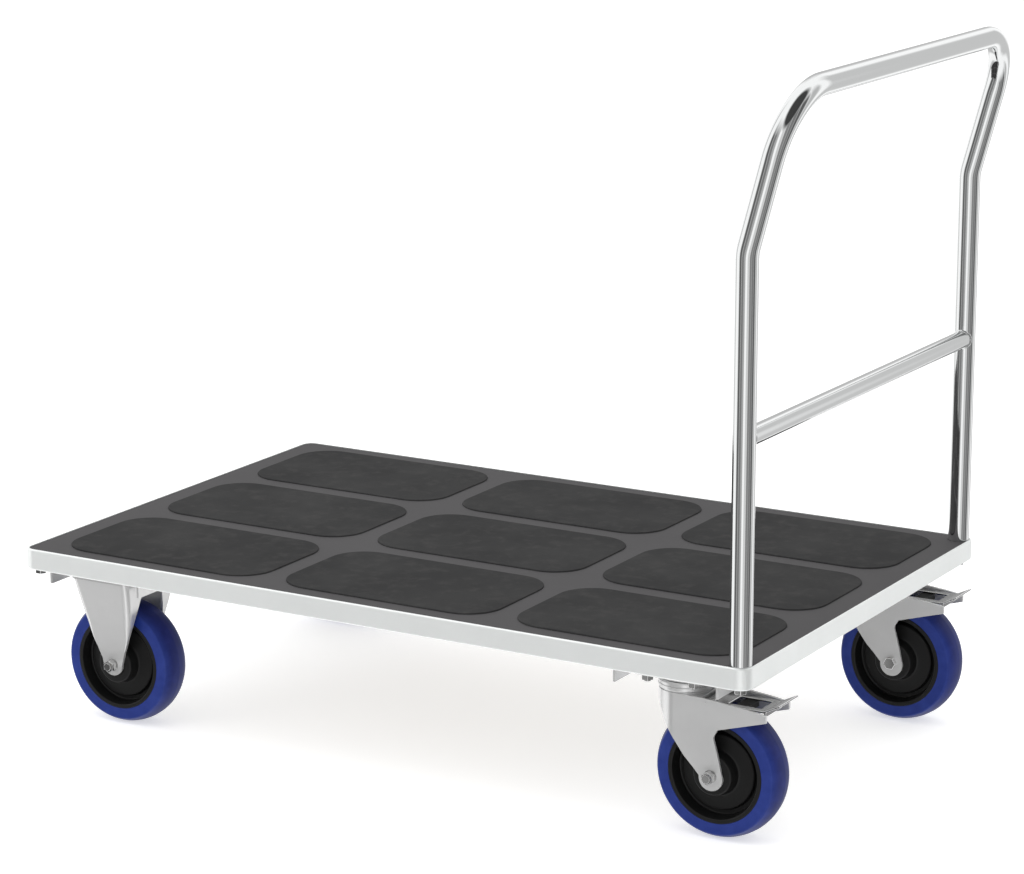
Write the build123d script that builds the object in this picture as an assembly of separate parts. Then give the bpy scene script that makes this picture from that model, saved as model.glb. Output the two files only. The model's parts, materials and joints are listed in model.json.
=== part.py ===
from build123d import *
import os
from math import radians, tan

# Platform cart: a zinc plated steel frame with a rubber-topped deck, a push
# handle fixed at the rear end, two fixed castors in front and two braked
# swivel castors behind. Millimetres, +Z up, +X towards the handle.

# ---- driving dimensions ----
DECK_L = 1015.0            # frame, outside, along X
DECK_W = 650.0             # frame, outside, along Y
CORNER_R = 16.5            # plan radius of the frame's corners
FRAME_Z = 201.5            # underside of the frame
FRAME_H = 26.5             # height of the frame's upright leg
SHEET = 3.0                # thickness of the frame and channel steel
FLANGE = 40.0              # width of the frame's flat leg

WHEEL_R = 80.0
WHEEL_W = 44.0
FIXED_X = -402.0           # fixed wheel axle
SWIVEL_X = 394.0           # swivel axis
TRAIL = 48.0               # swivel wheel axle behind its swivel axis
CASTOR_Y = 251.0           # castor centres either side of the middle

TUBE_R = 13.3              # push handle tube
TUBE_WALL = 1.5
KINK_Z = 697.0             # height where the posts start to lean back
GRIP_Z = 875.0             # centre line of the grip
LEAN = 15.2                # degrees
GRIP_BEND = 78.0           # radius of the bends beside the grip, on the centre line
KINK_BEND = 55.0
CROSSBAR_R = 11.0
CROSSBAR_Z = 488.0

PAD_L = 297.0              # raised pads of the mat
PAD_W = 180.0
PAD_R = 46.0
PAD_GAP = 28.0

BOLT_R = 4.0
BOLT_HOLE_R = 4.2
HEAD_R = 8.0               # round heads of the castor bolts
HEAD_H = 3.4
NUT_AF = 13.0
NUT_H = 6.4
WASHER_R = 8.0
WASHER_T = 1.6
PATTERN_X = 60.0           # bolt pattern of a castor plate
PATTERN_Y = 80.0

PLATE_T = 4.0
PLATE_L = 85.0
SLOT_L = 13.0
SWIVEL_PLATE_W = 108.0
FIXED_PLATE_W = 118.0
LEG_T = 3.5
LEG_OUT = 32.0             # outer face of a fork leg at the axle
AXLE_R = 5.0
AXLE_HOLE_R = 5.1
AXLE_AF = 14.0
AXLE_WASHER_R = 8.0
KING_R = 6.0
RIM_R = 60.0
HUB_BORE_R = 14.0
SLEEVE_R = 7.5
RUNNING_FIT = 0.06         # radial play of a pin or shaft in its hole

PIN_R = 2.5                # the brake lever's hinge pin
PIN_X = 40.0
PIN_Z = 165.2
LEVER_HALF = 24.0
LEVER_T = 2.5
LEVER_Z = 163.0            # underside of the lever's flat
LEVER_END = 113.0
SHOE_GAP = 4.3

# ---- values worked out from them ----
POST_X = DECK_L / 2 - CORNER_R
POST_Y = DECK_W / 2 - CORNER_R
GRIP_X = POST_X + (GRIP_Z - KINK_Z) * tan(radians(LEAN))
INSIDE_L = DECK_L - 2 * SHEET
INSIDE_W = DECK_W - 2 * SHEET
BOARD_Z = FRAME_Z + SHEET
MAT_Z = 223.5
MAT_TOP = 227.2
PAD_TOP = 229.0
WEB_Z = FRAME_Z - SHEET    # underside of the cross channels, top of the castors
PLATE_Z = WEB_Z - PLATE_T
AXLE_Z = WHEEL_R
HUB_HALF = LEG_OUT - LEG_T - 0.4
PLUG_TOP = 232.0
BOLT_END_Z = 184.6         # lower end of the castor bolts
# top of the corner bolts, by end: -1 in front, 1 at the handle
BOLT_TOP = {-1: MAT_Z - 2.0, 1: MAT_Z + 4.0}
CROWN_Z = 166.0            # underside and top of a swivel fork's crown
CROWN_TOP = 172.0
CROWN_END = 34.0
RACE_T = 3.4
RACE_TOP = 184.6
BEARING_TOP = 188.0

# fixed fork's leg: height, half width, and how deep its sides are turned in
FIXED_LEG = [(PLATE_Z, 42.0, 36.0), (175, 40.0, 31.0), (152, 36.5, 18.5), (137, 33.5, 11.0), (124, 29.8, 6.5),
             (112, 25.5, 4.6), (100, 20.5, 4.1)]
FIXED_TIP = [(100, 20.5), (88, 16.0), (AXLE_Z, 14.0)]     # height and half width, flat below the bends
FIXED_LEG_TOP = FIXED_PLATE_W / 2 - 2.0     # its outer face at the plate

# outline of a swivel fork's leg, from the swivel axis; the arm behind it carries the brake
LEG_FRONT = [(0, 172), (0, 117.5), (13, 100), (26, 87), (36, 76)]
LEG_REAR = [(62.5, 80), (58, 100), (54, 115), (50.5, 127)]
ARM_LOW = [(56, 136.5), (117, 154.5)]
ARM_TOP = [(117, 163.2), (97, 166), (66, 169.3), (38, 172)]
# lower edge of the skirt that joins the legs round the front of the head
SKIRT = [(0, 117.5), (-12, 134), (-18.4, 148), (-25, 159), (-32.5, 166), (-32.5, 172), (0, 172)]

# The row's origin is under the middle of the whole cart, handle included.
ORIGIN_X = (GRIP_X + TUBE_R - DECK_L / 2) / 2

SIDES = {"left": 1, "right": -1}
CORNERS = [(sx, sy) for sx in (-1, 1) for sy in (-1, 1)]


def write(name, shape):
    export_step(Pos(-ORIGIN_X, 0, 0) * shape, f"parts/{name}.step")


def group(shapes):
    """Separate solids of one kind, kept in one node."""
    return Compound([solid for shape in shapes for solid in shape.solids()])


def mirrored(shape, sx, sy):
    """The shape turned into the quarter where X has sign sx and Y has sign sy."""
    if sx < 0:
        shape = mirror(shape, about=Plane.YZ)
    if sy < 0:
        shape = mirror(shape, about=Plane.XZ)
    return shape


def disc(r, z0, z1, x=0.0, y=0.0):
    return Pos(x, y, (z0 + z1) / 2) * Cylinder(r, z1 - z0)


def rod(r, y0, y1, x, z):
    """A round bar along Y."""
    return Pos(x, (y0 + y1) / 2, z) * Rot(90, 0, 0) * Cylinder(r, y1 - y0)


def hexagon(across, z0, z1, x=0.0, y=0.0):
    outline = RegularPolygon(across / 2, 6, major_radius=False)
    return Pos(x, y, z0) * extrude(outline, z1 - z0)


def slab(x0, x1, y0, y1, z0, z1):
    return Pos((x0 + x1) / 2, (y0 + y1) / 2, (z0 + z1) / 2) * Box(x1 - x0, y1 - y0, z1 - z0)


def outline_xz(points, y0, y1):
    """A flat plate cut to an outline in XZ, from y0 to y1."""
    face = Plane.XZ * make_face(Polyline(*points, close=True))
    return Pos(0, y1, 0) * extrude(face, y1 - y0)


# ---- frame and deck ----
def frame_ring():
    block = Pos(0, 0, FRAME_Z) * extrude(RectangleRounded(DECK_L, DECK_W, CORNER_R), FRAME_H)
    block = fillet(block.edges().group_by(Axis.Z)[-1], 2.2)
    block = fillet(block.edges().group_by(Axis.Z)[0], 2.8)
    inside = RectangleRounded(INSIDE_L, INSIDE_W, CORNER_R - SHEET)
    block -= Pos(0, 0, BOARD_Z) * extrude(inside, FRAME_H)
    window = Rectangle(DECK_L - 2 * FLANGE, DECK_W - 2 * FLANGE)
    block -= Pos(0, 0, FRAME_Z) * extrude(window, FRAME_H)
    for hole_x, hole_y in castor_bolt_places():
        block -= disc(BOLT_HOLE_R, FRAME_Z, BOARD_Z, hole_x, hole_y)
    for sx, sy in CORNERS:
        block -= disc(BOLT_HOLE_R, FRAME_Z, BOARD_Z, sx * POST_X, sy * POST_Y)
    return block


def mitre_mask(half_l, half_w, depth, end):
    """One side's share of the frame, cut at 45 degrees through its corners."""
    inner_l = half_l - depth
    inner_w = half_w - depth
    if end:
        points = [(half_l, half_w), (half_l, -half_w), (inner_l, -inner_w), (inner_l, inner_w)]
    else:
        points = [(half_l, half_w), (-half_l, half_w), (-inner_l, inner_w), (inner_l, inner_w)]
    return Pos(0, 0, FRAME_Z - 1) * extrude(make_face(Polyline(*points, close=True)), FRAME_H + 2)


def frame_rails():
    ring = frame_ring()
    over = 5.0
    half_l = DECK_L / 2 + over
    half_w = DECK_W / 2 + over
    end = mitre_mask(half_l, half_w, FLANGE + 2 * over, True)
    side = mitre_mask(half_l, half_w, FLANGE + 2 * over, False)
    write("rail_rear", ring & end)
    write("rail_front", ring & (Rot(0, 0, 180) * end))
    write("rail_left", ring & side)
    write("rail_right", ring & (Rot(0, 0, 180) * side))


def deck_board():
    gap = 0.5
    half_l = INSIDE_L / 2 - gap
    half_w = INSIDE_W / 2 - gap
    board = slab(-half_l, half_l, -half_w, half_w, BOARD_Z, MAT_Z)
    # square notches clear the posts and plugs in the corners
    reach = TUBE_R + 1.5
    for sx, sy in CORNERS:
        notch = slab(-reach, 2 * reach, -reach, 2 * reach, BOARD_Z, MAT_Z)
        board -= Pos(sx * POST_X, sy * POST_Y, 0) * mirrored(notch, sx, sy)
    # pockets over the castor bolts' heads
    for hole_x, hole_y in castor_bolt_places():
        board -= disc(HEAD_R + 1.5, BOARD_Z, BOARD_Z + HEAD_H + 1.0, hole_x, hole_y)
    return board


def deck_mat():
    """Rubber sheet with three rows of three raised pads."""
    gap = 0.4
    mat = Pos(0, 0, MAT_Z) * extrude(
        RectangleRounded(INSIDE_L - 2 * gap, INSIDE_W - 2 * gap, CORNER_R - SHEET - gap), MAT_TOP - MAT_Z)
    for sy in (-1, 1):
        # the hole for the post, and the sliver of mat outside it
        hole = disc(TUBE_R + 0.4, MAT_Z, MAT_TOP) + slab(0, CORNER_R, 0, CORNER_R, MAT_Z, MAT_TOP)
        mat -= Pos(POST_X, sy * POST_Y, 0) * mirrored(hole, 1, sy)
    pitch_x = PAD_L + PAD_GAP
    pitch_y = PAD_W + PAD_GAP
    pad = extrude(RectangleRounded(PAD_L, PAD_W, PAD_R), PAD_TOP - MAT_TOP)
    pad = fillet(pad.edges().group_by(Axis.Z)[-1], 1.2)
    for column in (-1, 0, 1):
        for row in (-1, 0, 1):
            mat += Pos(column * pitch_x, row * pitch_y, MAT_TOP) * pad
    return mat


def cross_channel(x0, x1):
    """Bent sheet with its lips turned down, lying across under the frame."""
    half = 302.0
    lip = 18.5
    channel = slab(x0, x1, -half, half, WEB_Z - lip, FRAME_Z)
    channel = fillet(channel.edges().filter_by(Axis.Y).group_by(Axis.Z)[-1], SHEET)
    channel -= slab(x0 + SHEET, x1 - SHEET, -half, half, WEB_Z - lip, WEB_Z)
    for hole_x, hole_y in castor_bolt_places():
        channel -= disc(BOLT_HOLE_R, WEB_Z, FRAME_Z, hole_x, hole_y)
    return channel


# ---- push handle ----
def handle_tube():
    bottom = BOARD_Z
    points = [(POST_X, -POST_Y, bottom), (POST_X, -POST_Y, KINK_Z), (GRIP_X, -POST_Y, GRIP_Z)]
    points += [(x, -y, z) for x, y, z in reversed(points)]
    path = FilletPolyline(*points, radius=[KINK_BEND, GRIP_BEND, GRIP_BEND, KINK_BEND])
    start = Plane(origin=points[0], z_dir=(0, 0, 1))
    outer = sweep(start * Circle(TUBE_R), path=path)
    inner = sweep(start * Circle(TUBE_R - TUBE_WALL), path=path)
    return outer - inner


def crossbar():
    bar = rod(CROSSBAR_R, -POST_Y, POST_Y, POST_X, CROSSBAR_Z)
    bar -= rod(CROSSBAR_R - TUBE_WALL, -POST_Y, POST_Y, POST_X, CROSSBAR_Z)
    for sy in (-1, 1):
        bar -= disc(TUBE_R, CROSSBAR_Z - 40, CROSSBAR_Z + 40, POST_X, sy * POST_Y)
    return bar


# ---- fasteners ----
def castor_bolt_places():
    places = []
    for centre_x in (FIXED_X, SWIVEL_X):
        for centre_y in (-CASTOR_Y, CASTOR_Y):
            for sx, sy in CORNERS:
                places.append((centre_x + sx * PATTERN_X / 2, centre_y + sy * PATTERN_Y / 2))
    return places


def head_seat(hole_y):
    """The outer bolts clamp the frame's flat leg, the inner ones the channel alone."""
    return BOARD_Z if abs(hole_y) > DECK_W / 2 - FLANGE else FRAME_Z


def castor_bolts():
    bolts = []
    for x, y in castor_bolt_places():
        seat = head_seat(y)
        head = fillet(disc(HEAD_R, seat, seat + HEAD_H, x, y).edges().group_by(Axis.Z)[-1], 2.0)
        bolts.append(head + disc(BOLT_R, BOLT_END_Z, seat, x, y))
    return group(bolts)


def castor_washers():
    low = PLATE_Z - WASHER_T
    return group(disc(WASHER_R, low, PLATE_Z, x, y) - disc(BOLT_HOLE_R, low, PLATE_Z, x, y)
                 for x, y in castor_bolt_places())


def castor_nuts():
    top = PLATE_Z - WASHER_T
    return group(hexagon(NUT_AF, top - NUT_H, top, x, y) - disc(BOLT_R, top - 10, top, x, y)
                 for x, y in castor_bolt_places())


def corner_bolts():
    """Hex bolts up through the frame's corners into the plugs."""
    seat = FRAME_Z - WASHER_T
    head_h = 5.6
    return group(hexagon(NUT_AF, seat - head_h, seat, sx * POST_X, sy * POST_Y)
                 + disc(BOLT_R, seat, BOLT_TOP[sx], sx * POST_X, sy * POST_Y) for sx, sy in CORNERS)


def corner_washers():
    return group(disc(WASHER_R, FRAME_Z - WASHER_T, FRAME_Z, sx * POST_X, sy * POST_Y)
                 - disc(BOLT_HOLE_R, FRAME_Z - 5, FRAME_Z, sx * POST_X, sy * POST_Y) for sx, sy in CORNERS)


def handle_plugs():
    """Threaded plugs inside the feet of the handle's posts."""
    return group(disc(TUBE_R - TUBE_WALL, BOARD_Z, PLUG_TOP, POST_X, sy * POST_Y)
                 - disc(BOLT_R, BOARD_Z, BOLT_TOP[1], POST_X, sy * POST_Y) for sy in (-1, 1))


def front_plugs():
    """Low threaded plugs under the mat in the two front corners."""
    return group(disc(TUBE_R, BOARD_Z, MAT_Z, -POST_X, sy * POST_Y)
                 - disc(BOLT_R, BOARD_Z, BOLT_TOP[-1], -POST_X, sy * POST_Y) for sy in (-1, 1))


# ---- castor parts, each made about its own castor's centre line at x = y = 0 ----
def castor_plate(width):
    """Top plate with four slots and rounded corners."""
    corner_r = 6.0
    plate = Pos(0, 0, PLATE_Z) * extrude(RectangleRounded(PLATE_L, width, corner_r), PLATE_T)
    slot = extrude(SlotOverall(SLOT_L, 2 * BOLT_HOLE_R), PLATE_T)
    for sx, sy in CORNERS:
        plate -= Pos(sx * PATTERN_X / 2, sy * PATTERN_Y / 2, PLATE_Z) * slot
    return plate


def fixed_leg_out(z):
    """Outer face of a fixed fork's leg: upright beside the axle's nut, leaning out above it."""
    straight_z = FIXED_TIP[1][0]
    up = max(0.0, (z - straight_z) / (PLATE_Z - straight_z))
    return LEG_OUT + (FIXED_LEG_TOP - LEG_OUT) * up ** 1.15


def channel_section(z, half, depth):
    """Cross-section of the leg's upper part: a flat face whose sides are bent in."""
    out = fixed_leg_out(z)
    bend_r = min(8.0, 1.6 * (depth - LEG_T))
    outside = Pos(0, out - depth / 2) * Rectangle(2 * half, depth)
    outside = fillet(outside.vertices().group_by(Axis.Y)[-1], bend_r)
    inside = Pos(0, out - LEG_T - depth / 2) * Rectangle(2 * (half - LEG_T), depth)
    inside = fillet(inside.vertices().group_by(Axis.Y)[-1], max(0.4, bend_r - LEG_T))
    return Pos(0, 0, z) * (outside - inside)


def flat_section(z, half):
    return Pos(0, fixed_leg_out(z) - LEG_T / 2, z) * Rectangle(2 * half, LEG_T)


def ruled_through(sections):
    return Part(Solid.make_loft([section.face().outer_wire() for section in sections], ruled=True).wrapped)


def fixed_fork():
    """Pressed bracket: a top plate and two tapering legs that lean in to the axle."""
    leg = ruled_through([channel_section(*row) for row in FIXED_LEG])
    leg += ruled_through([flat_section(*row) for row in FIXED_TIP])
    leg += rod(FIXED_TIP[-1][1], LEG_OUT - LEG_T, LEG_OUT, 0, AXLE_Z)
    leg -= rod(AXLE_HOLE_R, 0, 2 * LEG_OUT, 0, AXLE_Z)
    return castor_plate(FIXED_PLATE_W) + leg + Rot(0, 0, 180) * leg


def swivel_leg():
    tip = 15.0
    points = LEG_FRONT + [(TRAIL, AXLE_Z - 3)] + LEG_REAR + ARM_LOW + ARM_TOP
    plate = outline_xz(points, LEG_OUT - LEG_T, LEG_OUT)
    crook_x, crook_z = LEG_REAR[-1]
    crook = plate.edges().filter_by(Axis.Y).filter_by_position(Axis.X, crook_x - 1, crook_x + 1)
    plate = fillet(crook.filter_by_position(Axis.Z, crook_z - 1, crook_z + 1), 7.0)
    plate += rod(tip, LEG_OUT - LEG_T, LEG_OUT, TRAIL, AXLE_Z - 2.5)
    return plate - rod(AXLE_HOLE_R, 0, 2 * LEG_OUT, TRAIL, AXLE_Z)


def swivel_fork():
    """Crown round the kingpin, its front skirt, and two flat legs with brake arms."""
    crown = disc(LEG_OUT, CROWN_Z, CROWN_TOP)
    crown += slab(0, CROWN_END, -LEG_OUT, LEG_OUT, CROWN_Z, CROWN_TOP)
    skirt = disc(LEG_OUT, SKIRT[0][1], CROWN_TOP) - disc(LEG_OUT - LEG_T, SKIRT[0][1], CROWN_TOP)
    skirt &= outline_xz(SKIRT, -LEG_OUT, LEG_OUT)
    leg = swivel_leg()
    fork = crown + skirt + leg + Pos(0, -2 * LEG_OUT + LEG_T, 0) * leg
    fork -= disc(KING_R + RUNNING_FIT, CROWN_Z - 1, CROWN_TOP + 1)
    fork -= rod(PIN_R, -LEG_OUT - 1, LEG_OUT + 1, PIN_X, PIN_Z)
    return fork


def swivel_plate():
    """Top plate with the upper race pressed under it."""
    plate = castor_plate(SWIVEL_PLATE_W)
    race = disc(31.5, BEARING_TOP - 2.5, PLATE_Z) - disc(24.5, BEARING_TOP - 2.5, PLATE_Z - 2.5)
    return plate + race - disc(KING_R, PLATE_Z - 8, WEB_Z)


def lower_race():
    """Race on the fork's crown, with a raised rim outside the balls."""
    race = disc(33.0, CROWN_TOP, RACE_TOP) - disc(24.0, CROWN_TOP + RACE_T, RACE_TOP)
    race -= disc(KING_R + 0.8, CROWN_TOP, RACE_TOP)
    outer = race.edges().filter_by(GeomType.CIRCLE).group_by(Axis.Z)[-1].sort_by(SortBy.LENGTH)[-1]
    return fillet(outer, 2.0)


def race_balls():
    ring_r = 17.0
    ball_r = 3.0
    count = 16
    ball = Pos(ring_r, 0, CROWN_TOP + RACE_T + ball_r) * Sphere(ball_r)
    return group(Rot(0, 0, 360 * i / count) * ball for i in range(count))


def kingpin():
    """Pin riveted in the top plate, with a collar on the balls and a nut under the crown."""
    pin = disc(KING_R, CROWN_Z - 4.5, WEB_Z)
    collar = disc(21.5, CROWN_TOP + 9.8, CROWN_TOP + 12.0)
    return pin + collar + disc(10.0, CROWN_Z - 4.5, CROWN_Z - 0.35)


# ---- wheels, made about their own axle at the origin ----
def turned(points):
    """A solid of revolution about Y from (radius, y) points."""
    outline = Polyline(*[(r, y) for r, y in points], close=True)
    return revolve(make_face(outline), Axis.Y)


def tyre():
    half = WHEEL_W / 2
    body = turned([(RIM_R, -half), (WHEEL_R, -half), (WHEEL_R, half), (RIM_R, half)])
    rims = body.edges().filter_by(GeomType.CIRCLE).group_by(SortBy.LENGTH)[-1]
    return fillet(rims, 9.0)


def rim():
    """Moulded rim: outer lip, stepped dish, web and hub."""
    half = WHEEL_W / 2 + 0.5
    side = [(RIM_R, half), (54.5, half), (53.5, 15.0), (45.0, 12.0), (43.0, 5.0),
            (28.0, 5.0), (26.0, 20.0), (24.0, HUB_HALF), (HUB_BORE_R, HUB_HALF)]
    return turned(side + [(r, -y) for r, y in reversed(side)])


def bearings():
    """A sealed bearing in each end of the hub."""
    width = 11.0
    ring = rod(HUB_BORE_R, 0, width, 0, 0) - rod(SLEEVE_R + 0.05, -1, width + 1, 0, 0)
    return group(Pos(0, y, 0) * ring for y in (-HUB_HALF, HUB_HALF - width))


def axle_sleeve():
    half = LEG_OUT - LEG_T
    return rod(SLEEVE_R, -half, half, 0, 0) - rod(AXLE_HOLE_R, -half, half, 0, 0)


def axle_bolt():
    """Hex head on the inner side, thread on the outer side (towards -Y)."""
    head_h = 6.4
    shank = rod(AXLE_R, -LEG_OUT - 12.5, LEG_OUT, 0, 0)
    return shank + Rot(-90, 0, 0) * hexagon(AXLE_AF, LEG_OUT, LEG_OUT + head_h)


def axle_nut():
    nut_h = 8.5
    seat = LEG_OUT + WASHER_T
    nut = Rot(90, 0, 0) * hexagon(AXLE_AF, seat, seat + nut_h)
    washer = rod(AXLE_WASHER_R, -seat, -LEG_OUT, 0, 0)
    return nut + washer - rod(AXLE_R, -2 * LEG_OUT, 0, 0, 0)


# ---- brake ----
def brake_lever():
    """Window plate hinged at the fork's head, with a foot plate tilted up behind it."""
    flat = slab(PIN_X, LEVER_END, -LEVER_HALF, LEVER_HALF, LEVER_Z, LEVER_Z + LEVER_T)
    flat -= slab(62, 103, -15, 15, LEVER_Z - 1, LEVER_Z + LEVER_T + 1)
    barrel_r = 4.2
    flat += rod(barrel_r, -LEVER_HALF, LEVER_HALF, PIN_X, PIN_Z)
    lip = slab(LEVER_END - LEVER_T, LEVER_END, -LEVER_HALF, LEVER_HALF, LEVER_Z - 4, LEVER_Z + LEVER_T)
    rise = 26.0
    foot_l = 23.0
    foot = slab(0, foot_l, -LEVER_HALF, LEVER_HALF, 0, 2)
    foot = Pos(LEVER_END - 3, 0, LEVER_Z + 0.3) * Rot(0, -rise, 0) * foot
    return flat + lip + foot - rod(PIN_R + RUNNING_FIT, -LEVER_HALF, LEVER_HALF, PIN_X, PIN_Z)


def brake_shoe():
    """Rubber block under the lever, cut to the curve of the tread."""
    block = slab(68, 84, -18, 18, 150, LEVER_Z)
    return block - rod(WHEEL_R + SHOE_GAP, -30, 30, TRAIL, AXLE_Z)


def brake_pin():
    head = 0.8
    return rod(PIN_R, -LEG_OUT - head, LEG_OUT + head, PIN_X, PIN_Z)


def wheel_nodes(corner, place):
    write(f"tyre_{corner}", place * tyre())
    write(f"rim_{corner}", place * rim())
    write(f"wheel_bearings_{corner}", place * bearings())
    write(f"axle_sleeve_{corner}", place * axle_sleeve())
    # the nuts face outwards on both sides of the cart
    outward = place * Rot(0, 0, 180) if corner.endswith("left") else place
    write(f"axle_bolt_{corner}", outward * axle_bolt())
    write(f"axle_nut_{corner}", outward * axle_nut())


def main():
    os.makedirs("parts", exist_ok=True)
    frame_rails()
    write("deck_board", deck_board())
    write("deck_mat", deck_mat())
    write("channel_front", cross_channel(-482, -345))
    write("channel_rear", cross_channel(325, 460))
    write("push_handle", handle_tube())
    write("crossbar", crossbar())
    write("castor_bolts", castor_bolts())
    write("castor_washers", castor_washers())
    write("castor_nuts", castor_nuts())
    write("corner_bolts", corner_bolts())
    write("corner_washers", corner_washers())
    write("handle_plugs", handle_plugs())
    write("front_plugs", front_plugs())
    for side, sign in SIDES.items():
        y = sign * CASTOR_Y
        write(f"fixed_fork_{side}", Pos(FIXED_X, y, 0) * fixed_fork())
        wheel_nodes(f"front_{side}", Pos(FIXED_X, y, AXLE_Z))
        here = Pos(SWIVEL_X, y, 0)
        write(f"swivel_plate_{side}", here * swivel_plate())
        write(f"swivel_fork_{side}", here * swivel_fork())
        write(f"lower_race_{side}", here * lower_race())
        write(f"race_balls_{side}", here * race_balls())
        write(f"kingpin_{side}", here * kingpin())
        wheel_nodes(f"rear_{side}", Pos(SWIVEL_X + TRAIL, y, AXLE_Z))
        write(f"brake_lever_{side}", here * brake_lever())
        write(f"brake_shoe_{side}", here * brake_shoe())
        write(f"brake_pin_{side}", here * brake_pin())
    print("origin shift along X", round(ORIGIN_X, 3))


main()
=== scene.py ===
# %% [markdown]
# # A platform cart with a tubular push handle
# The cart comes from the CAD model as a frame that is never moved: rails, deck, forks and fasteners
# already have their true sizes and places. This lesson gives every surface its finish, and remakes
# the pieces whose look depends on fine rounding: the bent tube, the wheels, the pressed forks, the
# races and the axle nuts. Everything is in metres, with +Z up and +X towards the handle.

# %% Open the frame
import json
import math

import bmesh
import bpy
from mathutils import Matrix, Vector


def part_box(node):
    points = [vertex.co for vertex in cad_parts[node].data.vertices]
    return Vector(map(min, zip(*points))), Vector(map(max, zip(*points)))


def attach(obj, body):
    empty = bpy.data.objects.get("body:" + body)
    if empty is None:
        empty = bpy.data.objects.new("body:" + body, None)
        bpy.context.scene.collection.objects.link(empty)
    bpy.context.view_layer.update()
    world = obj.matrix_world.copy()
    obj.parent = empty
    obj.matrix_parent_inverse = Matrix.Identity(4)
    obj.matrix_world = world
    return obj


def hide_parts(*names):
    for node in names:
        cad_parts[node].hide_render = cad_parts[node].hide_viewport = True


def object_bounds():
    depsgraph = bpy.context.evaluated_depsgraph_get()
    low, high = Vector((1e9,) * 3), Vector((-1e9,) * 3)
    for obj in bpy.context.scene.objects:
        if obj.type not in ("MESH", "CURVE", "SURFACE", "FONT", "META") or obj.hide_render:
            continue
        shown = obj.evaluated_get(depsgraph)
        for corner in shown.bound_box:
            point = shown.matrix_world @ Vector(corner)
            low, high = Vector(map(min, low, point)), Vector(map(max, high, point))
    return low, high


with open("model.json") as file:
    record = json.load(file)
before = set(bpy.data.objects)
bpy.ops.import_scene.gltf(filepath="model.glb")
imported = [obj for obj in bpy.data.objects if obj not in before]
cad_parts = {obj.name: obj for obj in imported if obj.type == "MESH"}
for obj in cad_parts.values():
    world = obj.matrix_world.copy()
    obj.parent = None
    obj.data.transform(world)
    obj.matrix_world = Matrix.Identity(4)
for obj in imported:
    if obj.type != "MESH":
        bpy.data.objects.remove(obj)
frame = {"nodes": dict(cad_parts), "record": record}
cad_low, cad_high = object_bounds()
nodes = frame["nodes"]
slot_of = {part["node"]: part["material_slot"] for part in frame["record"]["subparts"]}
bodies = frame["record"]["behaviour"]["bodies"]
body_of = {node: body for body, names in bodies.items() for node in names}
MM = 0.001
SIDES = ("left", "right")
print("CAD nodes:", len(nodes), "box:", [round(v, 4) for v in (*cad_low, *cad_high)])

# %% [markdown]
# ## Shader sums in plain Python
# A procedural finish is mostly arithmetic on sockets. Adding Math nodes by hand hides the sum, so a
# small class wraps a socket and turns +, -, * and / into nodes. One more class holds a material
# being made, and adds any other node from its type, its settings and the values of its sockets.


# %% A socket that takes part in sums
class Amount:
    def __init__(self, tree, socket):
        self.tree = tree
        self.socket = socket

    def math(self, operation, *others, clamp=False):
        node = self.tree.nodes.new("ShaderNodeMath")
        node.operation = operation
        node.use_clamp = clamp
        for socket, value in zip(node.inputs, (self, *others)):
            if isinstance(value, Amount):
                self.tree.links.new(value.socket, socket)
            else:
                socket.default_value = value
        return Amount(self.tree, node.outputs[0])

    def __add__(self, other):
        return self.math("ADD", other)

    def __sub__(self, other):
        return self.math("SUBTRACT", other)

    def __mul__(self, other):
        return self.math("MULTIPLY", other)

    def __truediv__(self, other):
        return self.math("DIVIDE", other)

    def __rsub__(self, other):
        return (self * -1.0) + other

    __radd__ = __add__
    __rmul__ = __mul__

    def step(self, low, high):
        """0 below low, 1 above high, and a straight ramp between them."""
        return ((self - low) / (high - low)).math("ADD", 0.0, clamp=True)


# %% A material being made
class Finish:
    def __init__(self, name, color=(0.5, 0.5, 0.5), **constants):
        self.material = bpy.data.materials.new(name)
        self.material.use_nodes = True
        self.tree = self.material.node_tree
        self.shader = self.tree.nodes["Principled BSDF"]
        self.shader.inputs["Base Color"].default_value = (*color, 1.0)
        for socket, value in constants.items():
            self.shader.inputs[socket.replace("_", " ")].default_value = value
        self.material.diffuse_color = (*color, 1.0)

    def add(self, kind, settings=None, output=0, **sockets):
        """A node of this kind, with its settings made first, then its sockets filled."""
        node = self.tree.nodes.new(kind)
        for key, value in (settings or {}).items():
            setattr(node, key, value)
        for key, value in sockets.items():
            self.fill(node.inputs[key], value)
        return Amount(self.tree, node.outputs[output])

    def fill(self, socket, value):
        if isinstance(value, Amount):
            self.tree.links.new(value.socket, socket)
        elif isinstance(value, tuple) and socket.type == "RGBA":
            socket.default_value = (*value, 1.0)
        else:
            socket.default_value = value

    def place(self):
        """Where the surface is, in the piece's own metres (the node's output named Object)."""
        return self.add("ShaderNodeTexCoord", output=3)

    def noise(self, scale, detail=2.0, stretch=(1.0, 1.0, 1.0)):
        """Cloudy noise in metres: scale is the number of blotches in a metre."""
        spot = self.add("ShaderNodeMapping", Vector=self.place(), Scale=stretch)
        return self.add("ShaderNodeTexNoise", Vector=spot, Scale=scale, Detail=detail, Roughness=0.6)

    def mix(self, share, first, second):
        node = self.tree.nodes.new("ShaderNodeMix")
        node.data_type = "RGBA"
        self.fill(node.inputs["Factor"], share)
        for socket, value in zip([s for s in node.inputs if s.type == "RGBA"], (first, second)):
            self.fill(socket, value)
        return Amount(self.tree, [s for s in node.outputs if s.type == "RGBA"][0])

    def bump(self, height, distance, strength=1.0):
        return self.add("ShaderNodeBump", Height=height, Distance=distance, Strength=strength)

    def wear(self, **sockets):
        """Link what varies over the surface to the shader."""
        for key, value in sockets.items():
            self.fill(self.shader.inputs[key.replace("_", " ")], value)
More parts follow.
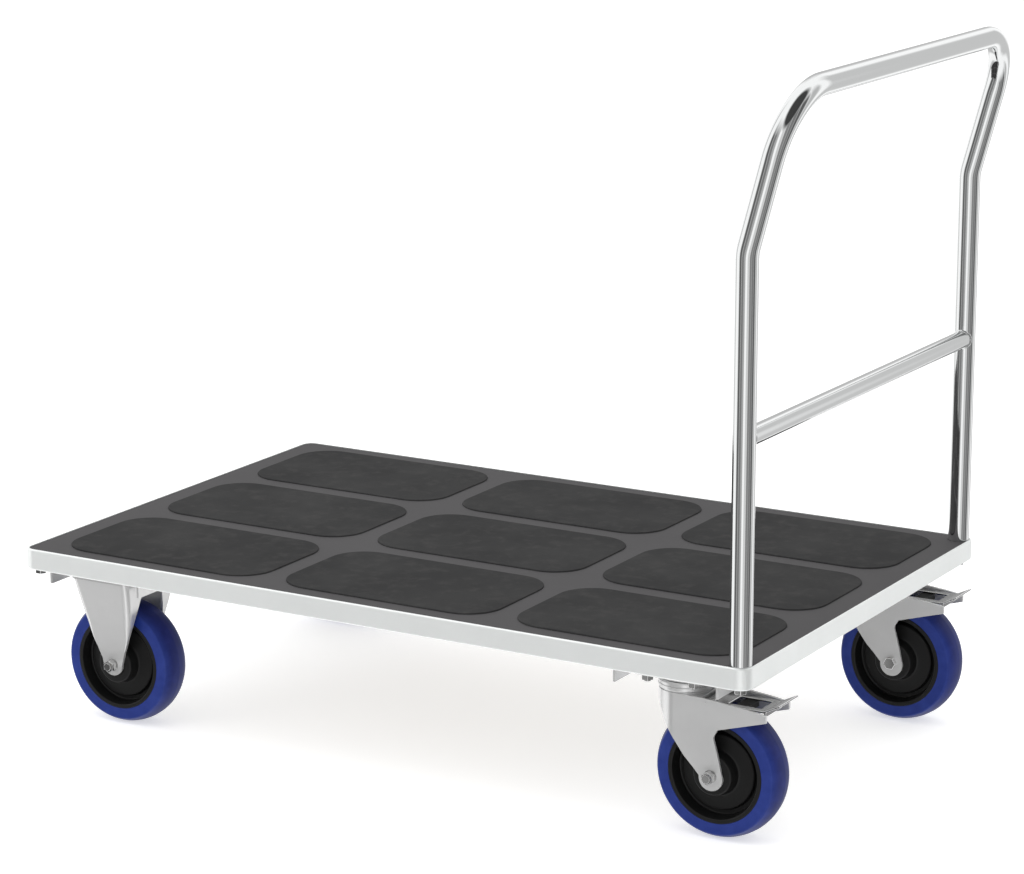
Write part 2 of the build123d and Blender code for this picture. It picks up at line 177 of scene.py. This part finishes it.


# %% [markdown]
# ## Chrome, zinc and steel
# Chrome is a mirror: its look is the room's, so it only gets a low, slightly uneven roughness.
# Zinc plate on pressed steel is duller, with faint clouds where the bath wetted the sheet unevenly
# and a fine directional grain from rolling. The frame's rails are paler and more matt than the
# forks, and bolts and the brake lever are darker and shinier. A surface attribute named "edge" says
# where a painted highlight lightens the plating's colour to near white along rounded edges.

# %% Chrome for the handle
chrome = Finish("polished_chrome", (0.78, 0.79, 0.79), Metallic=1.0, Roughness=0.07)
haze = chrome.noise(9.0, 3.0)
rubbed = chrome.noise(160.0, 2.0, (1.0, 1.0, 0.12))
chrome.wear(Roughness=haze.step(0.35, 0.75) * 0.05 + rubbed * 0.035 + 0.035,
            Normal=chrome.bump(rubbed, 0.00002, 0.3))


# %% Zinc, in several batches
# the near-white colour of the painted highlight on rounded edges
PAINTED_HIGHLIGHT_WHITE = (0.96, 0.96, 0.96)
CLOUD_SWING = 0.08
GRAIN_SWING = 0.06
MIDDLE_SWING = (CLOUD_SWING + GRAIN_SWING) / 2


def zinc(name, light, dark, rough, grain, metallic=1.0):
    """Grain scales the rolling marks along X, Y and Z: a small number draws them out long."""
    made = Finish(name, light, Metallic=metallic, Roughness=rough)
    cloud = made.noise(14.0, 4.0)
    rolled = made.noise(420.0, 2.0, grain)
    # painted highlight: where the "edge" attribute is 1, the colour turns near white
    painted_highlight_mask = made.add("ShaderNodeAttribute", {"attribute_name": "edge"}, output=2)
    sheet_color = made.mix(cloud.step(0.3, 0.75), light, dark)
    made.wear(Base_Color=made.mix(painted_highlight_mask, sheet_color, PAINTED_HIGHLIGHT_WHITE),
              Roughness=cloud * CLOUD_SWING + rolled * GRAIN_SWING + (rough - MIDDLE_SWING),
              Normal=made.bump(rolled, 0.00003, 0.35))
    return made


def grey(value):
    return (value, value, value)


frame_zinc = zinc("frame_zinc", (0.91, 0.93, 0.922), (0.86, 0.88, 0.872), rough=0.42,
                  grain=(0.04, 1.0, 1.0), metallic=0.55)
pressed_zinc = zinc("pressed_zinc", grey(0.76), grey(0.69), rough=0.24, grain=(1.0, 1.0, 0.06),
                    metallic=0.60)
bolt_zinc = zinc("bolt_zinc", (0.58, 0.58, 0.57), grey(0.48), rough=0.15, grain=(1.0, 1.0, 1.0))
lever_zinc = zinc("lever_zinc", grey(0.31), grey(0.24), rough=0.16, grain=(1.0, 0.1, 1.0))
ground_steel = zinc("ground_steel", (0.50, 0.50, 0.51), (0.42, 0.42, 0.43), rough=0.22,
                    grain=(1.0, 0.1, 1.0))
print("metals:", len(bpy.data.materials))

# %% [markdown]
# ## Rubber, plastic and ply
# The mat is one sheet of rubber. Its border is scuffed lighter than the raised pads, which are
# darker and clouded like worn leather. A pad is known by its height: its top lies above the border.

# %% The mat's rubber
PAD_RISE = 1.8 * MM
# above the border, a pad's colour starts at its foot and is full at its rim
PAD_FOOT = 0.2 * MM
PAD_RIM = 0.9 * MM
border_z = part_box("deck_mat")[1].z - PAD_RISE
mat_rubber = Finish("mat_rubber", (0.075, 0.075, 0.076), Roughness=0.6, Specular_IOR_Level=0.12)
height = mat_rubber.add("ShaderNodeSeparateXYZ", Vector=mat_rubber.place(), output=2)
on_pad = height.step(border_z + PAD_FOOT, border_z + PAD_RIM)
cloud = mat_rubber.noise(11.0, 6.0)
fleck = mat_rubber.noise(55.0, 4.0)
pores = mat_rubber.noise(900.0, 2.0)
pad_color = mat_rubber.mix(cloud.step(0.36, 0.68), (0.022, 0.022, 0.0225), grey(0.035))
pad_color = mat_rubber.mix(fleck.step(0.50, 0.75) * 0.5, pad_color, (0.052, 0.050, 0.049))
border_color = mat_rubber.mix(cloud, (0.060, 0.058, 0.060), (0.080, 0.078, 0.080))
mat_rubber.wear(Base_Color=mat_rubber.mix(on_pad, border_color, pad_color),
                Roughness=on_pad * 0.10 + cloud * 0.12 + 0.58,
                Normal=mat_rubber.bump(pores * 0.6 + fleck * on_pad, 0.00012, 0.5))

# %% The tyre's blue rubber
# the tread, painted darker than the side as shade, begins across this range of radius in metres
SIDE_ENDS = 73.6 * MM
TREAD_BEGINS = 78.5 * MM
tyre_blue = Finish("tyre_blue", (0.012, 0.030, 0.30), Roughness=0.42, Specular_IOR_Level=0.25)
radius = tyre_blue.add("ShaderNodeAttribute", {"attribute_name": "radius"}, output=2)
on_tread = radius.step(SIDE_ENDS, TREAD_BEGINS)
dust = tyre_blue.noise(60.0, 4.0)
side_blue = tyre_blue.mix(dust.step(0.3, 0.8), (0.0102, 0.0260, 0.178), (0.018, 0.039, 0.230))
# painted shade: the tread's blues are darker than the side's
tread_painted_shade_blue = tyre_blue.mix(dust.step(0.4, 0.8), (0.008, 0.016, 0.122), (0.016, 0.026, 0.175))
tyre_blue.wear(Base_Color=tyre_blue.mix(on_tread, side_blue, tread_painted_shade_blue),
               Roughness=on_tread * 0.12 + dust * 0.12 + 0.32,
               Normal=tyre_blue.bump(tyre_blue.noise(700.0, 2.0), 0.00006, 0.4))


# %% Moulded black, brake rubber and the deck's plywood
def moulded(name, tone, rough, grain):
    made = Finish(name, grey(tone), Roughness=rough, Specular_IOR_Level=0.3)
    skin = made.noise(grain, 3.0)
    made.wear(Base_Color=made.mix(made.noise(30.0, 3.0), grey(tone), grey(tone * 1.5)),
              Roughness=skin * 0.15 + rough - 0.07,
              Normal=made.bump(skin, 0.00005, 0.4))
    return made


rim_black = moulded("rim_black", 0.0062, 0.42, 1200.0)
brake_rubber = moulded("brake_rubber", 0.015, 0.75, 900.0)

plywood = Finish("deck_plywood", (0.33, 0.30, 0.26), Roughness=0.6)
plies = plywood.noise(4.0, 2.0, (0.3, 0.3, 160.0))
long_grain = plywood.noise(30.0, 6.0, (0.05, 1.0, 1.0))
ply_color = plywood.mix(long_grain.step(0.3, 0.7), (0.36, 0.325, 0.28), (0.27, 0.24, 0.20))
plywood.wear(Base_Color=plywood.mix(plies.step(0.5, 0.6) * 0.5, ply_color, (0.20, 0.16, 0.12)),
             Roughness=long_grain * 0.2 + 0.5,
             Normal=plywood.bump(long_grain, 0.0002, 0.5))
print("rubber, plastic and ply added:", len(bpy.data.materials))

# %% Each CAD node gets its finish
FINISH_OF_SLOT = {
    "chrome": chrome,
    "frame_zinc": frame_zinc,
    "zinc": pressed_zinc,
    "steel": ground_steel,
    "rubber_mat": mat_rubber,
    "blue_tyre": tyre_blue,
    "black_polyamide": rim_black,
    "brake_rubber": brake_rubber,
    "birch_ply": plywood,
}


def coat(thing, finish):
    """The finish in every material slot of the object."""
    if not thing.material_slots:
        thing.data.materials.append(finish.material)
    for place in thing.material_slots:
        place.material = finish.material


for node, thing in nodes.items():
    coat(thing, bolt_zinc if "bolt" in node or "nut" in node else FINISH_OF_SLOT[slot_of[node]])
print("nodes with a finish:", len(nodes))

# %% [markdown]
# ## Turning a bmesh into a piece of the cart
# Every new piece rides on the body of the node that it stands for. Smooth shading with weighted
# normals keeps flat faces flat while the small rounds between them catch the light.


# %% Finish a piece
WELD = 0.01 * MM


def piece(name, bm, finish, stands_for, round_angle=40.0):
    mesh = bpy.data.meshes.new(name)
    bm.to_mesh(mesh)
    bm.free()
    mesh.shade_smooth()
    mesh.set_sharp_from_angle(angle=math.radians(round_angle))
    made = bpy.data.objects.new(name, mesh)
    bpy.context.scene.collection.objects.link(made)
    made.data.materials.append(finish.material)
    weighted = made.modifiers.new("flat faces stay flat", "WEIGHTED_NORMAL")
    weighted.keep_sharp = True
    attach(made, body_of[stands_for])
    return made


def box_centre(node):
    low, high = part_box(node)
    return (low + high) / 2


# %% [markdown]
# ## Pressed and cut steel
# Real sheet metal has no knife edges: a press or saw leaves a small round that shows as a bright
# line. The CAD mesh is loose triangles, so a copy is welded, its flat areas are joined into single
# faces, and every edge that turns sharply gets a narrow bevel. The bevel's faces carry the "edge"
# attribute, so the finish paints a near-white highlight there; the rails get no painted highlight.


# %% Round the edges of a copy
FLAT_WITHIN = math.radians(0.6)
SHARP_FROM = math.radians(28.0)


def softened(node, width, finish, highlight_share):
    bm = bmesh.new()
    bm.from_mesh(nodes[node].data)
    bmesh.ops.remove_doubles(bm, verts=bm.verts, dist=WELD)
    bmesh.ops.dissolve_limit(bm, angle_limit=FLAT_WITHIN, verts=bm.verts, edges=bm.edges,
                             delimit={"NORMAL"})
    folds = [e for e in bm.edges if len(e.link_faces) == 2]
    sharp = [e for e in folds if e.calc_face_angle(0.0) > SHARP_FROM]
    rubbed = bm.faces.layers.float.new("edge")
    rounds = bmesh.ops.bevel(bm, geom=sharp, offset=width, offset_type="OFFSET", affect="EDGES",
                             segments=2, profile=0.5, material=-1, clamp_overlap=True)["faces"]
    # painted highlight: the bevel faces get this share of near-white colour
    for face in rounds:
        face[rubbed] = highlight_share
    made = piece(f"{node}_finished", bm, finish, node)
    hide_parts(node)


# %% Soften the sheet, the lever and the fasteners
# width of the round in millimetres, and a finish other than the node's own, by how its name starts
EDGE = {
    "rail": (0.5, None),
    "channel": (0.7, None),
    "fixed_fork": (0.9, None),
    "swivel_fork": (1.2, None),
    "swivel_plate": (0.6, None),
    "brake_lever": (0.6, lever_zinc),
    "axle_bolt": (0.7, bolt_zinc),
    "castor_nuts": (0.5, bolt_zinc),
    "corner_bolts": (0.6, bolt_zinc),
    "castor_washers": (0.2, bolt_zinc),
    "corner_washers": (0.2, bolt_zinc),
}
# every piece but the rails gets the painted highlight on its bevels
for node in sorted(nodes):
    for start, (width, finish) in EDGE.items():
        if node.startswith(start):
            softened(node, width * MM, finish or FINISH_OF_SLOT[slot_of[node]],
                     highlight_share=0.0 if start == "rail" else 1.0)

# %% [markdown]
# ## The push handle
# One length of tube, bent cold: up, a slight kink back, round to the grip, across, and the same
# again in mirror image. The code works as the bender does. A ring is fed straight by extruding it,
# and turned round a former by spinning it, so every bend is a true arc.


# %% A tube bender
DEGREES_A_STEP = 5


class TubeBender:
    def __init__(self, radius, start, heading, around=56):
        self.bm = bmesh.new()
        bmesh.ops.create_circle(self.bm, segments=around, radius=radius, cap_ends=True)
        turn = heading.to_track_quat("Z", "Y").to_matrix().to_4x4()
        bmesh.ops.transform(self.bm, matrix=Matrix.Translation(start) @ turn, verts=self.bm.verts)
        self.ring = self.bm.edges[:]
        self.at = start.copy()
        self.heading = heading.normalized()

    def feed(self, length):
        made = bmesh.ops.extrude_edge_only(self.bm, edges=self.ring)["geom"]
        moved = [g for g in made if isinstance(g, bmesh.types.BMVert)]
        bmesh.ops.translate(self.bm, verts=moved, vec=self.heading * length)
        edges = [g for g in made if isinstance(g, bmesh.types.BMEdge)]
        self.ring = [e for e in edges if set(e.verts) <= set(moved)]
        self.at = self.at + self.heading * length

    def bend(self, degrees, former, towards):
        side = (towards - self.heading * towards.dot(self.heading)).normalized()
        axis = self.heading.cross(side)
        centre = self.at + side * former
        angle = math.radians(degrees)
        steps = max(4, round(degrees / DEGREES_A_STEP))
        geom = self.ring + list({v for e in self.ring for v in e.verts})
        made = bmesh.ops.spin(self.bm, geom=geom, cent=centre, axis=axis, angle=angle, steps=steps,
                              use_merge=False, use_normal_flip=False)["geom_last"]
        self.ring = [g for g in made if isinstance(g, bmesh.types.BMEdge)]
        turn = Matrix.Rotation(angle, 3, axis)
        self.at = centre + turn @ (self.at - centre)
        self.heading = turn @ self.heading

    def closed(self):
        bmesh.ops.contextual_create(self.bm, geom=self.ring)
        bmesh.ops.remove_doubles(self.bm, verts=self.bm.verts, dist=WELD)
        bmesh.ops.recalc_face_normals(self.bm, faces=self.bm.faces)
        return self.bm


# %% Bend the handle
tube_low, tube_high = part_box("push_handle")
TUBE_R = 13.3 * MM
KINK_Z = 697 * MM
KINK_FORMER = 55 * MM
GRIP_FORMER = 78 * MM
post_x = tube_low.x + TUBE_R
grip_x = tube_high.x - TUBE_R
grip_z = tube_high.z - TUBE_R
post_y = tube_high.y - TUBE_R
lean = math.degrees(math.atan2(grip_x - post_x, grip_z - KINK_Z))
kink_reach = KINK_FORMER * math.tan(math.radians(lean / 2))
lean_length = math.hypot(grip_x - post_x, grip_z - KINK_Z)
bender = TubeBender(TUBE_R, Vector((post_x, -post_y, tube_low.z)), Vector((0, 0, 1)))
bender.feed(KINK_Z - kink_reach - tube_low.z)
bender.bend(lean, KINK_FORMER, Vector((1, 0, 0)))
bender.feed(lean_length - kink_reach - GRIP_FORMER)
bender.bend(90, GRIP_FORMER, Vector((0, 1, 0)))
bender.feed(2 * (post_y - GRIP_FORMER))
down_the_lean = -Vector((math.sin(math.radians(lean)), 0, math.cos(math.radians(lean))))
bender.bend(90, GRIP_FORMER, down_the_lean)
bender.feed(lean_length - kink_reach - GRIP_FORMER)
bender.bend(lean, KINK_FORMER, Vector((0, 0, -1)))
bender.feed(KINK_Z - kink_reach - tube_low.z)
print("handle leans", round(lean, 2), "degrees and ends at", [round(v, 4) for v in bender.at])
handle = piece("push_handle_bent", bender.closed(), chrome, "push_handle")
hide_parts("push_handle")

# %% [markdown]
# ## The crossbar and its welds
# The crossbar is a thinner tube whose plain capped ends run into the posts. A neat run of weld fills
# the corner between them. The bead is a torus, made by spinning a small circle round the bar, and
# its points are then moved along the bar until they sit on the post's curve.

# %% The crossbar
bar_low, bar_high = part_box("crossbar")
BAR_R = (bar_high.z - bar_low.z) / 2
bar_z = (bar_high.z + bar_low.z) / 2
bar = TubeBender(BAR_R, Vector((post_x, -post_y + TUBE_R / 2, bar_z)), Vector((0, 1, 0)), around=48)
bar.feed(2 * post_y - TUBE_R)
crossbar = piece("crossbar_coped", bar.closed(), chrome, "crossbar")
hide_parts("crossbar")

# %% Its two welds
BEAD_R = 1.6 * MM
RIPPLES = 36
RIPPLE_DEPTH = 0.12
for name, end in (("left", 1), ("right", -1)):
    bm = bmesh.new()
    bmesh.ops.create_circle(bm, segments=10, radius=BEAD_R)
    bmesh.ops.rotate(bm, verts=bm.verts, matrix=Matrix.Rotation(math.radians(90), 3, "X"))
    bmesh.ops.translate(bm, verts=bm.verts, vec=(0, 0, BAR_R))
    bmesh.ops.rotate(bm, verts=bm.verts, matrix=Matrix.Rotation(math.radians(90), 3, "Z"))
    bmesh.ops.spin(bm, geom=bm.verts[:] + bm.edges[:], cent=(0, 0, 0), axis=(0, 1, 0), angle=math.tau,
                   steps=72, use_merge=True)
    bmesh.ops.remove_doubles(bm, verts=bm.verts, dist=WELD)
    for vert in bm.verts:
        onto_post = math.sqrt(TUBE_R ** 2 - min(abs(vert.co.x), BAR_R) ** 2)
        ripple = 1 + RIPPLE_DEPTH * math.sin(RIPPLES * math.atan2(vert.co.x, vert.co.z))
        vert.co.y = vert.co.y * ripple + TUBE_R - onto_post
    bmesh.ops.scale(bm, verts=bm.verts, vec=(1, end, 1))
    bmesh.ops.translate(bm, verts=bm.verts, vec=(post_x, end * (post_y - TUBE_R), bar_z))
    bmesh.ops.recalc_face_normals(bm, faces=bm.faces)
    piece(f"crossbar_weld_{name}", bm, chrome, "crossbar")
print("crossbar radius", round(BAR_R, 4), "at height", round(bar_z, 4))

# %% [markdown]
# ## Wheels
# A tyre and its rim are both bodies of revolution, so each is a profile spun round the axle. The
# tyre has flat sides, a soft shoulder and a slightly crowned tread with the faint parting line that
# its mould leaves. The rim has a lip against the tyre, a deep groove, a flat web and a hub boss.


# %% Spin a profile into a wheel part
def turned(points, centre, steps=112):
    """Spin (radius, y) points in millimetres, from one side to the other, round the axle."""
    bm = bmesh.new()
    corners = [bm.verts.new((0, y * MM, r * MM)) for r, y in points]
    edges = [bm.edges.new(pair) for pair in zip(corners, corners[1:] + corners[:1])]
    bmesh.ops.spin(bm, geom=corners + edges, cent=(0, 0, 0), axis=(0, 1, 0), angle=math.tau,
                   steps=steps, use_merge=True)
    bmesh.ops.remove_doubles(bm, verts=bm.verts, dist=WELD / 2)
    distance = bm.verts.layers.float.new("radius")
    for vert in bm.verts:
        vert[distance] = math.hypot(vert.co.x, vert.co.z)
    bmesh.ops.recalc_face_normals(bm, faces=bm.faces)
    bmesh.ops.translate(bm, verts=bm.verts, vec=centre)
    return bm


def both_sides(half):
    """The half profile, then the same points on the other side in reverse."""
    return half + [(r, -y) for r, y in reversed(half)]


def arc(centre_r, centre_y, size, first, last, count):
    """Points of a round in a profile, with angles in degrees from the axle's direction."""
    angles = [math.radians(first + (last - first) * i / count) for i in range(count + 1)]
    return [(centre_r + size * math.sin(a), centre_y + size * math.cos(a)) for a in angles]


# %% The tyre's and the rim's half profiles
# the tyre: bead, flat side, shoulder, crowned tread, parting line
TYRE_SIDE = [(60.0, 22.0), (60.6, 21.7), (62.5, 21.9), (71.5, 22.0)]
TYRE_SIDE += arc(71.5, 18.5, 3.5, 0, 62, 6)
TYRE_SIDE += [(76.6, 16.6), (78.4, 12.0), (79.5, 6.5), (79.95, 1.2), (80.0, 0.6)]
# the rim: lip, wall of the groove and its round floor, web, hub boss and its bore
RIM_SIDE = [(60.0, 21.2), (59.2, 22.2), (58.6, 22.5), (55.6, 22.5), (54.8, 22.0), (54.2, 20.5)]
RIM_SIDE += [(52.8, 9.0)] + arc(50.8, 8.2, 2.0, 80, 180, 5)
RIM_SIDE += [(47.6, 6.2), (46.4, 7.2), (45.6, 11.2), (44.6, 12.0), (38.0, 12.6), (29.6, 13.4)]
RIM_SIDE += [(27.4, 14.6), (26.2, 17.0), (24.8, 26.4), (23.8, 27.6), (22.6, 28.1)]
RIM_SIDE += [(15.2, 28.1), (14.6, 27.6), (14.05, 27.0)]
WHEELS = [f"{end}_{side}" for end in ("front", "rear") for side in SIDES]

# %% Four wheels
for wheel in WHEELS:
    axle = box_centre(f"tyre_{wheel}")
    tyre = piece(f"tyre_moulded_{wheel}", turned(both_sides(TYRE_SIDE), axle), tyre_blue,
                 f"tyre_{wheel}")
    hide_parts(f"tyre_{wheel}")
    rim = piece(f"rim_moulded_{wheel}", turned(both_sides(RIM_SIDE), axle), rim_black,
                f"rim_{wheel}", round_angle=32)
    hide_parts(f"rim_{wheel}")
print("tyre profile points:", len(both_sides(TYRE_SIDE)), "rim:", len(both_sides(RIM_SIDE)))

# %% [markdown]
# ## The swivel head's lower race
# The balls run in a rolled ring that sits on the fork's crown. Its rounded rims catch a bright line
# each, with a dark groove between ring and crown. It is turned like a wheel, then stood upright.

# %% Roll the lower races
race_low, race_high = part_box("lower_race_left")
race_bottom = race_low.z / MM
race_top = race_high.z / MM
race_r = (race_high.x - race_low.x) / MM / 2
RACE_BORE = 7.0
RACE_WALL = 3.4
CUP_R = 24.0
FOOT_R = race_r - 2.4
FOOT_TALL = 1.6
RIM_ROUND = 2.6
BEAD_ROUND = 1.8
foot_top = race_bottom + FOOT_TALL
cup_floor = race_bottom + RACE_WALL
# the foot, then the bead above it
RACE_RING = [(RACE_BORE, race_bottom), (FOOT_R, race_bottom), (FOOT_R, foot_top)]
RACE_RING += arc(race_r - BEAD_ROUND, foot_top + BEAD_ROUND, BEAD_ROUND, 180, 90, 4)
# the groove round the outside
RACE_RING += [(race_r, race_bottom + 6.2), (race_r - 1.1, race_bottom + 6.9)]
RACE_RING += [(race_r, race_bottom + 7.6)]
# the rolled rim, then down inside the cup
RACE_RING += arc(race_r - RIM_ROUND, race_top - RIM_ROUND, RIM_ROUND, 90, 0, 5)
RACE_RING += [(CUP_R + 0.4, race_top), (CUP_R, race_top - 0.6), (CUP_R, cup_floor)]
RACE_RING += [(RACE_BORE, cup_floor)]
for side in SIDES:
    bm = turned(RACE_RING, (0, 0, 0), steps=96)
    bmesh.ops.rotate(bm, verts=bm.verts, matrix=Matrix.Rotation(math.radians(90), 3, "X"))
    centre = box_centre(f"lower_race_{side}")
    bmesh.ops.translate(bm, verts=bm.verts, vec=(centre.x, centre.y, 0))
    race = piece(f"lower_race_rolled_{side}", bm, pressed_zinc, f"lower_race_{side}",
                 round_angle=35)
    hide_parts(f"lower_race_{side}")
print("race radius", round(race_r, 2), "from", round(race_bottom, 1), "to", round(race_top, 1))

# %% [markdown]
# ## Axle nuts
# A hex nut starts as a six-sided cone. Its corners are cut round by turning: a bevel on both rims
# does the same, and its faces carry a painted near-white highlight. A washer lies under the nut and
# a low collar on top, and the bolt's end, which is one of the softened pieces, stands out of the
# middle.


# %% One hexagon with its chamfers
def rise(edge):
    return abs(edge.verts[0].co.z - edge.verts[1].co.z)


def hex_body(across, height, chamfer):
    bm = bmesh.new()
    corner_r = across / math.sqrt(3)
    bmesh.ops.create_cone(bm, segments=6, radius1=corner_r, radius2=corner_r, depth=height,
                          cap_ends=True)
    rubbed = bm.faces.layers.float.new("edge")
    rim_edges = [e for e in bm.edges if rise(e) < WELD / 10]
    rounds = bmesh.ops.bevel(bm, geom=rim_edges, offset=chamfer, affect="EDGES", segments=2,
                             profile=0.5, material=-1)["faces"]
    # painted highlight: the rim bevels' faces turn near white
    for face in rounds:
        face[rubbed] = 1.0
    uprights = [e for e in bm.edges if rise(e) > height / 2]
    bmesh.ops.bevel(bm, geom=uprights, offset=chamfer / 3, affect="EDGES", segments=2,
                    profile=0.5, material=-1)
    return bm


def put_out(bm, centre, outward, depth):
    """Lay a shape made along +Z along the axle, with its middle at this depth outwards."""
    upright_to_axle = Matrix.Rotation(math.radians(-90 * outward), 3, "X")
    bmesh.ops.rotate(bm, verts=bm.verts, matrix=upright_to_axle)
    bmesh.ops.translate(bm, verts=bm.verts, vec=centre + Vector((0, outward * depth, 0)))
    bmesh.ops.recalc_face_normals(bm, faces=bm.faces)


# %% A nut and its washer on each axle
NUT_ACROSS = 13.8 * MM
NUT_CHAMFER = 0.8 * MM
WASHER_T = 1.6 * MM
WASHER_R = (7.9 * MM, 7.6 * MM)
COLLAR_T = 1.6 * MM
COLLAR_R = (6.6 * MM, 6.0 * MM)


def disc(bm, radii, thick, height):
    """A short cone with these radii below and above, and its middle at this height."""
    verts = bmesh.ops.create_cone(bm, segments=40, radius1=radii[0], radius2=radii[1], depth=thick,
                                  cap_ends=True)["verts"]
    bmesh.ops.translate(bm, verts=verts, vec=(0, 0, height))


for wheel in WHEELS:
    outward = 1 if wheel.endswith("left") else -1
    axle = box_centre(f"tyre_{wheel}")
    low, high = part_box(f"axle_nut_{wheel}")
    inner, outer = sorted((abs(low.y - axle.y), abs(high.y - axle.y)))
    bm = hex_body(NUT_ACROSS, outer - inner - WASHER_T, NUT_CHAMFER)
    disc(bm, WASHER_R, WASHER_T, -(outer - inner) / 2)
    disc(bm, COLLAR_R, COLLAR_T, (outer - inner - WASHER_T) / 2)
    put_out(bm, axle, outward, (inner + outer + WASHER_T) / 2)
    nut = piece(f"axle_nut_turned_{wheel}", bm, bolt_zinc, f"axle_nut_{wheel}", round_angle=30)
    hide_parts(f"axle_nut_{wheel}")
print("axle nuts:", len(WHEELS))

# %% [markdown]
# ## Floor, light and camera
# The cart stands on a plain pale floor, which glows a little so that the shadow stays pale. Chrome
# needs something to mirror, so the room is white with soft dark panels round it at eye level, as a
# studio has, and a dark space behind the camera. The floor and the lamps are kept out of mirrored
# rays, so the metal shows only the room. The camera itself sees plain white.

# %% The floor
bm = bmesh.new()
bmesh.ops.create_grid(bm, x_segments=8, y_segments=8, size=30.0)
floor_mesh = bpy.data.meshes.new("floor")
bm.to_mesh(floor_mesh)
bm.free()
floor = bpy.data.objects.new("floor", floor_mesh)
bpy.context.scene.collection.objects.link(floor)
paper = Finish("pale_floor", grey(0.70), Roughness=0.9, Specular_IOR_Level=0.1,
               Emission_Strength=0.58)
paper.shader.inputs["Emission Color"].default_value = (1.0, 1.0, 1.0, 1.0)
floor_mesh.materials.append(paper.material)
floor.visible_glossy = False

# %% The room
world = bpy.data.worlds.new("studio")
bpy.context.scene.world = world
world.use_nodes = True
tree = world.node_tree
tree.nodes.clear()
coordinate = tree.nodes.new("ShaderNodeTexCoord")
split = tree.nodes.new("ShaderNodeSeparateXYZ")
tree.links.new(coordinate.outputs["Generated"], split.inputs[0])
look_x, look_y, look_z = (Amount(tree, s) for s in split.outputs)
bearing = look_y.math("ARCTAN2", look_x)
# each panel: its bearing in degrees, half its width, and how dark it is
PANELS = ((172, 8, 0.45), (-130, 13, 0.88), (-106, 13, 0.80), (-88, 9, 0.60), (-52, 9, 0.35),
          (-31, 12, 0.76), (-10, 13, 0.80), (11, 12, 0.88), (34, 10, 0.50), (72, 12, 0.42),
          (118, 14, 0.50))
# a panel is full up to this share of its half width, and gone at the next
FULL, GONE = 0.6, 1.3
dark = None
for middle, half_width, depth in PANELS:
    away = (bearing - math.radians(middle)).math("ABSOLUTE")
    fade = away.step(math.radians(half_width * FULL), math.radians(half_width * GONE))
    panel = (1.0 - fade) * depth
    dark = panel if dark is None else dark.math("MAXIMUM", panel)
at_eye_level = look_z.step(-0.90, -0.72) * (1.0 - look_z.step(0.42, 0.78))
print("panels:", len(PANELS))

# %% The dark space behind the camera, which mostly the handle's near bend mirrors
BEHIND = (0.48, -0.33, 0.81)
facing = look_x * BEHIND[0] + look_y * BEHIND[1] + look_z * BEHIND[2]
space = facing.step(math.cos(math.radians(40)), math.cos(math.radians(28))) * 0.95

# %% How brightly the room glows
ROOM_GLOW = 1.15
BACKDROP_GLOW = 1.2
seen = tree.nodes.new("ShaderNodeLightPath")
mirrored = Amount(tree, seen.outputs["Is Glossy Ray"])
straight = Amount(tree, seen.outputs["Is Camera Ray"])
glow = (1.0 - (dark * at_eye_level).math("MAXIMUM", space * mirrored)) * ROOM_GLOW
glow = glow.math("MAXIMUM", straight * BACKDROP_GLOW)
background = tree.nodes.new("ShaderNodeBackground")
background.inputs["Color"].default_value = (1.0, 1.0, 1.0, 1.0)
tree.links.new(glow.socket, background.inputs["Strength"])
output = tree.nodes.new("ShaderNodeOutputWorld")
tree.links.new(background.outputs[0], output.inputs["Surface"])
print("room glow:", ROOM_GLOW, "backdrop:", BACKDROP_GLOW)


# %% Two soft lamps
def lamp(name, place, target, size, power):
    data = bpy.data.lights.new(name, "AREA")
    data.shape = "RECTANGLE"
    data.size, data.size_y = size
    data.energy = power
    made = bpy.data.objects.new(name, data)
    made.location = place
    made.rotation_euler = (Vector(target) - Vector(place)).to_track_quat("-Z", "Y").to_euler()
    made.visible_glossy = False
    bpy.context.scene.collection.objects.link(made)


cart_middle = (cad_low + cad_high) / 2
lamp("overhead", (-0.4, -0.6, 3.4), cart_middle, size=(3.0, 2.4), power=34)
lamp("window", (-2.4, -3.4, 1.8), cart_middle, size=(1.8, 2.2), power=26)

# %% The camera
EYE = Vector((2.116, -3.648, 1.396))
YAW, DOWN = 30.20, 13.70
SENSOR = 36.0
FOCUS_OVER_WIDTH = 3.392
camera = bpy.data.objects.new("camera", bpy.data.cameras.new("camera"))
camera.location = EYE
camera.rotation_euler = (math.radians(90 - DOWN), 0, math.radians(YAW))
camera.data.sensor_width = SENSOR
camera.data.lens = SENSOR * FOCUS_OVER_WIDTH
bpy.context.scene.collection.objects.link(camera)
bpy.context.scene.camera = camera
bpy.context.scene.view_settings.view_transform = "Standard"
print("camera lens", round(camera.data.lens, 1), "mm")
